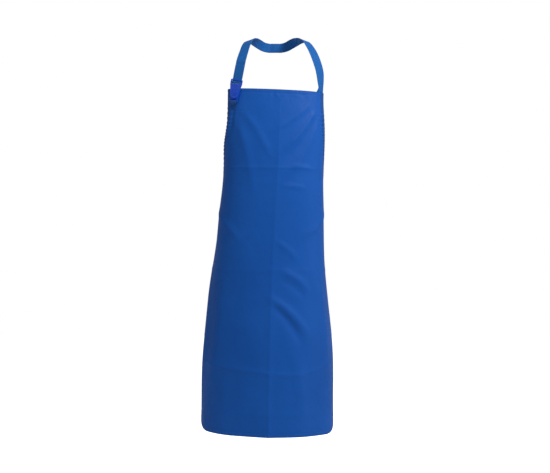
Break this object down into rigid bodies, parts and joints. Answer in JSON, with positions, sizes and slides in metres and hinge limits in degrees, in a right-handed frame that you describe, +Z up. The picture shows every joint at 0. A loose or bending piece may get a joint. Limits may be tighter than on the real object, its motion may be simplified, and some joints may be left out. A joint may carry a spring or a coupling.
{
  "type": "bib apron",
  "caption": "worn bib welding apron in blue coated cloth, with taped armholes, a webbing neck strap and waist strap, and push-button plastic buckles",
  "frame": {"origin": "middle of the neck strap's inner face at the nape, where the wearer's neck holds the apron up", "axes": "+Z up, +X towards the wearer's left, -Y to the front, where the bib and skirt hang"},
  "size_m": [0.4261, 0.2602, 1.2516],
  "materials": {
    "panel_cloth": "smooth coated blue cloth with a soft satin sheen",
    "patch_cloth": "back of the same cloth, matte",
    "edge_tape": "blue woven binding tape",
    "webbing": "bright blue ribbed webbing",
    "buckle_plastic": "moulded blue plastic, satin",
    "label": "plain white woven tape, no print"
  },
  "bodies": {
    "apron": {"apron_panel": "panel_cloth", "armhole_tape_right": "edge_tape", "armhole_tape_left": "edge_tape", "bib_patch_right": "patch_cloth", "bib_patch_left": "patch_cloth", "waist_patch_right": "patch_cloth", "waist_patch_left": "patch_cloth", "care_label": "label", "neck_strap": "webbing", "waist_strap_left": "webbing", "waist_strap_right": "webbing", "neck_buckle_tab": "patch_cloth", "neck_buckle_base": "buckle_plastic", "waist_buckle_base": "buckle_plastic"},
    "neck_clip": {"neck_buckle_frame": "buckle_plastic", "neck_strap_end": "webbing"},
    "neck_button": {"neck_buckle_button": "buckle_plastic"},
    "waist_clip": {"waist_buckle_frame": "buckle_plastic", "waist_strap_end": "webbing"},
    "waist_button": {"waist_buckle_button": "buckle_plastic"}
  },
  "joints": [
    {"name": "neck_clip_slide", "type": "slide", "parent": "apron", "child": "neck_clip", "axis": [0.1893, 0.0413, 0.9811], "range_m": [0, 0.042], "deforming": ["neck_buckle_button", "neck_strap_end"]},
    {"name": "neck_button_press", "type": "hinge", "parent": "apron", "child": "neck_button", "pos_m": [-0.12763, -0.17776, -0.1878], "axis": [-0.9519, 0.2529, 0.173], "range_deg": [0, 9], "stiffness_Nm_per_rad": 0.3},
    {"name": "waist_clip_slide", "type": "slide", "parent": "apron", "child": "waist_clip", "axis": [-1, 0, 0], "range_m": [0, 0.042], "deforming": ["waist_buckle_button", "waist_strap_end"]},
    {"name": "waist_button_press", "type": "hinge", "parent": "apron", "child": "waist_button", "pos_m": [0.01807, 0.03282, -0.49283], "axis": [0, 0, 1], "range_deg": [0, 9], "stiffness_Nm_per_rad": 0.3}
  ]
}
